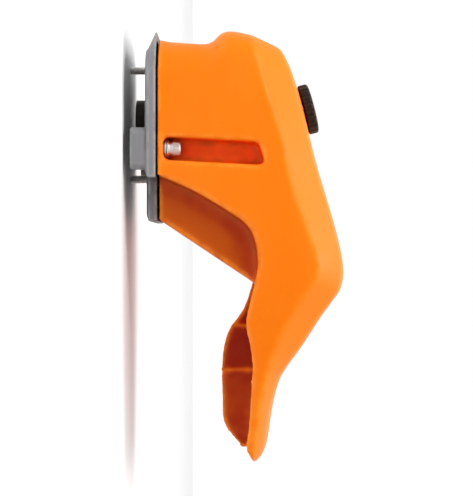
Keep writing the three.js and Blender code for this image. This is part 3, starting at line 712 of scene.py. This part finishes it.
def build_screw(side):
    """A thumb screw with a cut thread under its flange, a knurled head and a hexagon socket.

    Its radii and heights are found again on the section of the CAD solid."""
    node = f"side_screw_{side}"
    place = upright(node)
    profile = section(node, place)
    low, high = profile[0][1], max(height for _, height in profile)
    shank = min(radius for radius, height in profile if abs(height - high) > 3 * MM and radius > 2.4 * MM)
    flange = max(radius for radius, _ in profile)
    head = max(radius for radius, height in profile if high - height < 0.9 * MM)
    socket = min(radius for radius, height in profile if high - height < 0.1 * MM and radius > MM)
    seat = min(height for radius, height in profile if abs(radius - flange) < 0.01 * MM)
    ripple = together(
        thread(shank, low + 0.6 * MM, seat - 1.5 * MM),
        knurl(head, high - 4.6 * MM, high - 0.6 * MM, 30, 0.22 * MM),
        hexagon(socket),
    )
    respun(node, 0.12 * MM, place, 180, ripple, THREAD_PITCH / 7)


def build_insert(side):
    """A brass insert with two knurled bands and a plain groove between them."""
    node = f"threaded_insert_{side}"
    _, outer, low, high = span_about(node, upright(node))
    middle = (low + high) / 2
    ripple = together(
        knurl(outer, low + 0.8 * MM, middle - 0.7 * MM, 36, 0.3 * MM),
        knurl(outer, middle + 0.7 * MM, high - 0.8 * MM, 36, 0.3 * MM),
    )
    respun(node, 0.2 * MM, None, 216, ripple, 0.3 * MM)


def build_stud(end):
    """A stud with a thread at each end and a plain shank."""
    node = f"filter_stud_{end}"
    _, outer, low, high = span_about(node, upright(node))
    reach = high - low
    ripples = together(
        thread(outer, low + 0.4 * MM, low + 0.26 * reach),
        thread(outer, high - 0.3 * reach, high - 0.4 * MM),
    )
    respun(node, 0.5 * MM, None, 72, ripples, THREAD_PITCH / 7)


def build_thumb_nut(end):
    """A nut with coarse flutes round its grip."""
    node = f"filter_nut_{end}"
    place = upright(node)
    _, outer, low, high = span_about(node, place)
    ripple = knurl(outer, low + 1.2 * MM, high - 0.3 * MM, 18, 0.7 * MM)
    respun(node, 0.4 * MM, place, 216, ripple, 0.4 * MM)


for side in ("right", "left"):
    build_screw(side)
    build_insert(side)
    respun(f"side_screw_washer_{side}", 0.2 * MM)
    respun(f"side_screw_bush_{side}", 0.2 * MM)

for end in ("rear", "front"):
    build_stud(end)
    build_thumb_nut(end)
    respun(f"filter_washer_{end}", 0.2 * MM)
    moulded(f"stud_nut_{end}", 0.18 * MM, 2, 600)


# ---- Intake and filter -----------------------------------------------------------------------

respun("intake_gasket", 0.15 * MM, None, 144)
respun("intake_horn", 0.5 * MM, None, 144)
respun("filter_seat_ring", 0.5 * MM, None, 144)
moulded("rim_seal", 0.35 * MM, 3)
moulded("filter_lower_frame", 0.45 * MM, 3)
moulded("filter_upper_frame", 0.45 * MM, 3, 3000)
moulded("filter_inner_cage", 0.3 * MM, 4)
moulded("latch_bridge", 0.4 * MM, 4, 3000)


def rounded_lap(length, width, corner, count):
    """Evenly spaced points round a rectangle with round corners, and the direction outwards at each.

    length and width are half of its straight sides."""
    quarter = corner * math.pi / 2
    lap = 4 * (length + width) + 4 * quarter
    points, outward = [], []
    for i in range(count):
        left = lap * i / count
        heading, place = 0.0, Vector((-length, -width - corner))
        for size in (length, width, length, width):
            ahead = Vector((math.cos(heading), math.sin(heading)))
            away = Vector((ahead.y, -ahead.x))
            if left <= 2 * size:
                points.append(tuple(place + ahead * left))
                outward.append(tuple(away))
                break
            left -= 2 * size
            place = place + ahead * 2 * size
            if left <= quarter:
                turn = left / corner
                direction = away * math.cos(turn) + ahead * math.sin(turn)
                points.append(tuple(place - away * corner + direction * corner))
                outward.append(tuple(direction))
                break
            left -= quarter
            place = place - away * corner + ahead * corner
            heading += math.pi / 2
    return np.array(points), np.array(outward)


def build_pleats(corner=5 * MM, depth=3.6 * MM, inner_depth=1.6 * MM, rows=9, per_fold=8, crease=1.15):
    """Paper folded in and out round a rounded rectangle, with a round hollow folded the same way."""
    low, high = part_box("filter_element")
    length, width = (high.x - low.x) / 2 - corner, (high.y - low.y) / 2 - corner
    centre = ((low.x + high.x) / 2, (low.y + high.y) / 2)
    cavity = span_about("filter_element", Matrix.Translation((*centre, 0)))[0]
    count = PLEATS * per_fold
    outer, outward = rounded_lap(length, width, corner, count)
    sideways = np.stack([-outward[:, 1], outward[:, 0]], axis=1)
    wave = np.abs(2 * ((np.arange(count) / per_fold) % 1.0) - 1) ** crease
    bearing = np.arctan2(outer[:, 1], outer[:, 0])
    lean = np.random.default_rng(11).normal(0, 0.12 * MM, PLEATS).repeat(per_fold)
    points = []

    def add_level(ring, share):
        z = low.z + (high.z - low.z) * share
        points.append(np.column_stack([ring + centre, np.full(count, z)]))

    for row in range(rows):
        share = row / (rows - 1)
        wander = lean * math.sin(math.pi * share)
        add_level(outer - outward * (depth * wave)[:, None] + sideways * wander[:, None], share)
    radius = cavity + inner_depth * (1 - wave)
    inner = np.column_stack([np.cos(bearing), np.sin(bearing)]) * radius[:, None]
    for row in reversed(range(rows)):
        add_level(inner, row / (rows - 1))
    faces = []
    loops = 2 * rows
    for level in range(loops):
        here, there = level * count, ((level + 1) % loops) * count
        for i in range(count):
            k = (i + 1) % count
            faces.append((here + i, here + k, there + k, there + i))
    mesh = bpy.data.meshes.new("pleats")
    mesh.from_pydata(np.concatenate(points).tolist(), [], faces)
    finish_piece("filter_element_fine", mesh, "filter_element", 1, 0.3, 50)


build_pleats()


# ---- Stage -----------------------------------------------------------------------------------

def build_floor(low, size=2.4):
    mesh = bpy.data.meshes.new("floor")
    reach = size / 2
    corners = [(-reach, -reach, low), (reach, -reach, low), (reach, reach, low), (-reach, reach, low)]
    mesh.from_pydata(corners, [], [(0, 1, 2, 3)])
    floor = link("floor", mesh)
    s = Surface("floor", (0.92, 0.92, 0.92), 0.7)
    s.tint((0.86, 0.86, 0.87), s.span(s.noise(6, 3), 0.4, 0.7, 0, 0.3))
    mesh.materials.append(s.done(Specular_IOR_Level=0.2))


def area_light(name, place, target, size, power):
    light = bpy.data.lights.new(name, "AREA")
    light.shape, light.size, light.energy = "DISK", size, power
    lamp = bpy.data.objects.new(name, light)
    bpy.context.scene.collection.objects.link(lamp)
    lamp.location = place
    lamp.rotation_euler = (Vector(target) - Vector(place)).to_track_quat("-Z", "Y").to_euler()


def build_world(above=1.1, ahead=1.0, behind=0.05, below=1.0):
    """White room, brightest overhead and dimmer towards -Y, that the camera sees as plain white."""
    world = bpy.data.worlds.new("studio")
    world.use_nodes = True
    tree = world.node_tree

    def mapped(value, low, high, to_low, to_high):
        node = tree.nodes.new("ShaderNodeMapRange")
        node.interpolation_type = "SMOOTHSTEP"
        for socket, item in zip(node.inputs[:5], (value, low, high, to_low, to_high)):
            if hasattr(item, "links"):
                tree.links.new(item, socket)
            else:
                socket.default_value = item
        return node.outputs[0]

    direction = tree.nodes.new("ShaderNodeTexCoord").outputs["Generated"]
    split = tree.nodes.new("ShaderNodeSeparateXYZ")
    tree.links.new(direction, split.inputs[0])
    level = mapped(split.outputs["Y"], -0.6, 0.3, behind, ahead)
    level = mapped(split.outputs["Z"], 0.25, 0.9, level, above)
    level = mapped(split.outputs["Z"], -0.02, -0.2, level, below)
    seen_directly = tree.nodes.new("ShaderNodeLightPath").outputs["Is Camera Ray"]
    level = mapped(seen_directly, 0, 1, level, 1)
    tree.links.new(level, tree.nodes["Background"].inputs["Strength"])
    tree.nodes["Background"].inputs["Color"].default_value = (1, 1, 1, 1)
    bpy.context.scene.world = world


def build_camera(centre, length, fill=0.84):
    """Looks along +Y from the object's right side, rolled so that the nose points down the picture.

    fill is the share of the picture's height that the length takes."""
    data = bpy.data.cameras.new("camera")
    data.lens, data.sensor_width = 100, 36
    camera = bpy.data.objects.new("camera", data)
    bpy.context.scene.collection.objects.link(camera)
    distance = length / fill * data.lens / data.sensor_width
    camera.location = centre - Vector((0, distance, 0))
    right, up, back = Vector((0, 0, 1)), Vector((-1, 0, 0)), Vector((0, -1, 0))
    camera.rotation_mode = "QUATERNION"
    camera.rotation_quaternion = Matrix((right, up, back)).transposed().to_quaternion()
    data.clip_start, data.clip_end = distance / 50, distance * 20
    bpy.context.scene.camera = camera


centre = (cad_low + cad_high) / 2
above_rear = Vector((-0.36, -0.34, 0.42))
overhead = Vector((-0.05, -0.05, 0.8))
build_floor(cad_low.z - 0.5 * MM)
build_world()
area_light("key", centre + above_rear, centre + Vector((-0.05, 0, 0)), size=0.2, power=1.6)
area_light("overhead", centre + overhead, centre, size=0.5, power=3.5)
build_camera(centre, cad_high.x - cad_low.x)
bpy.context.scene.view_settings.view_transform = "Standard"
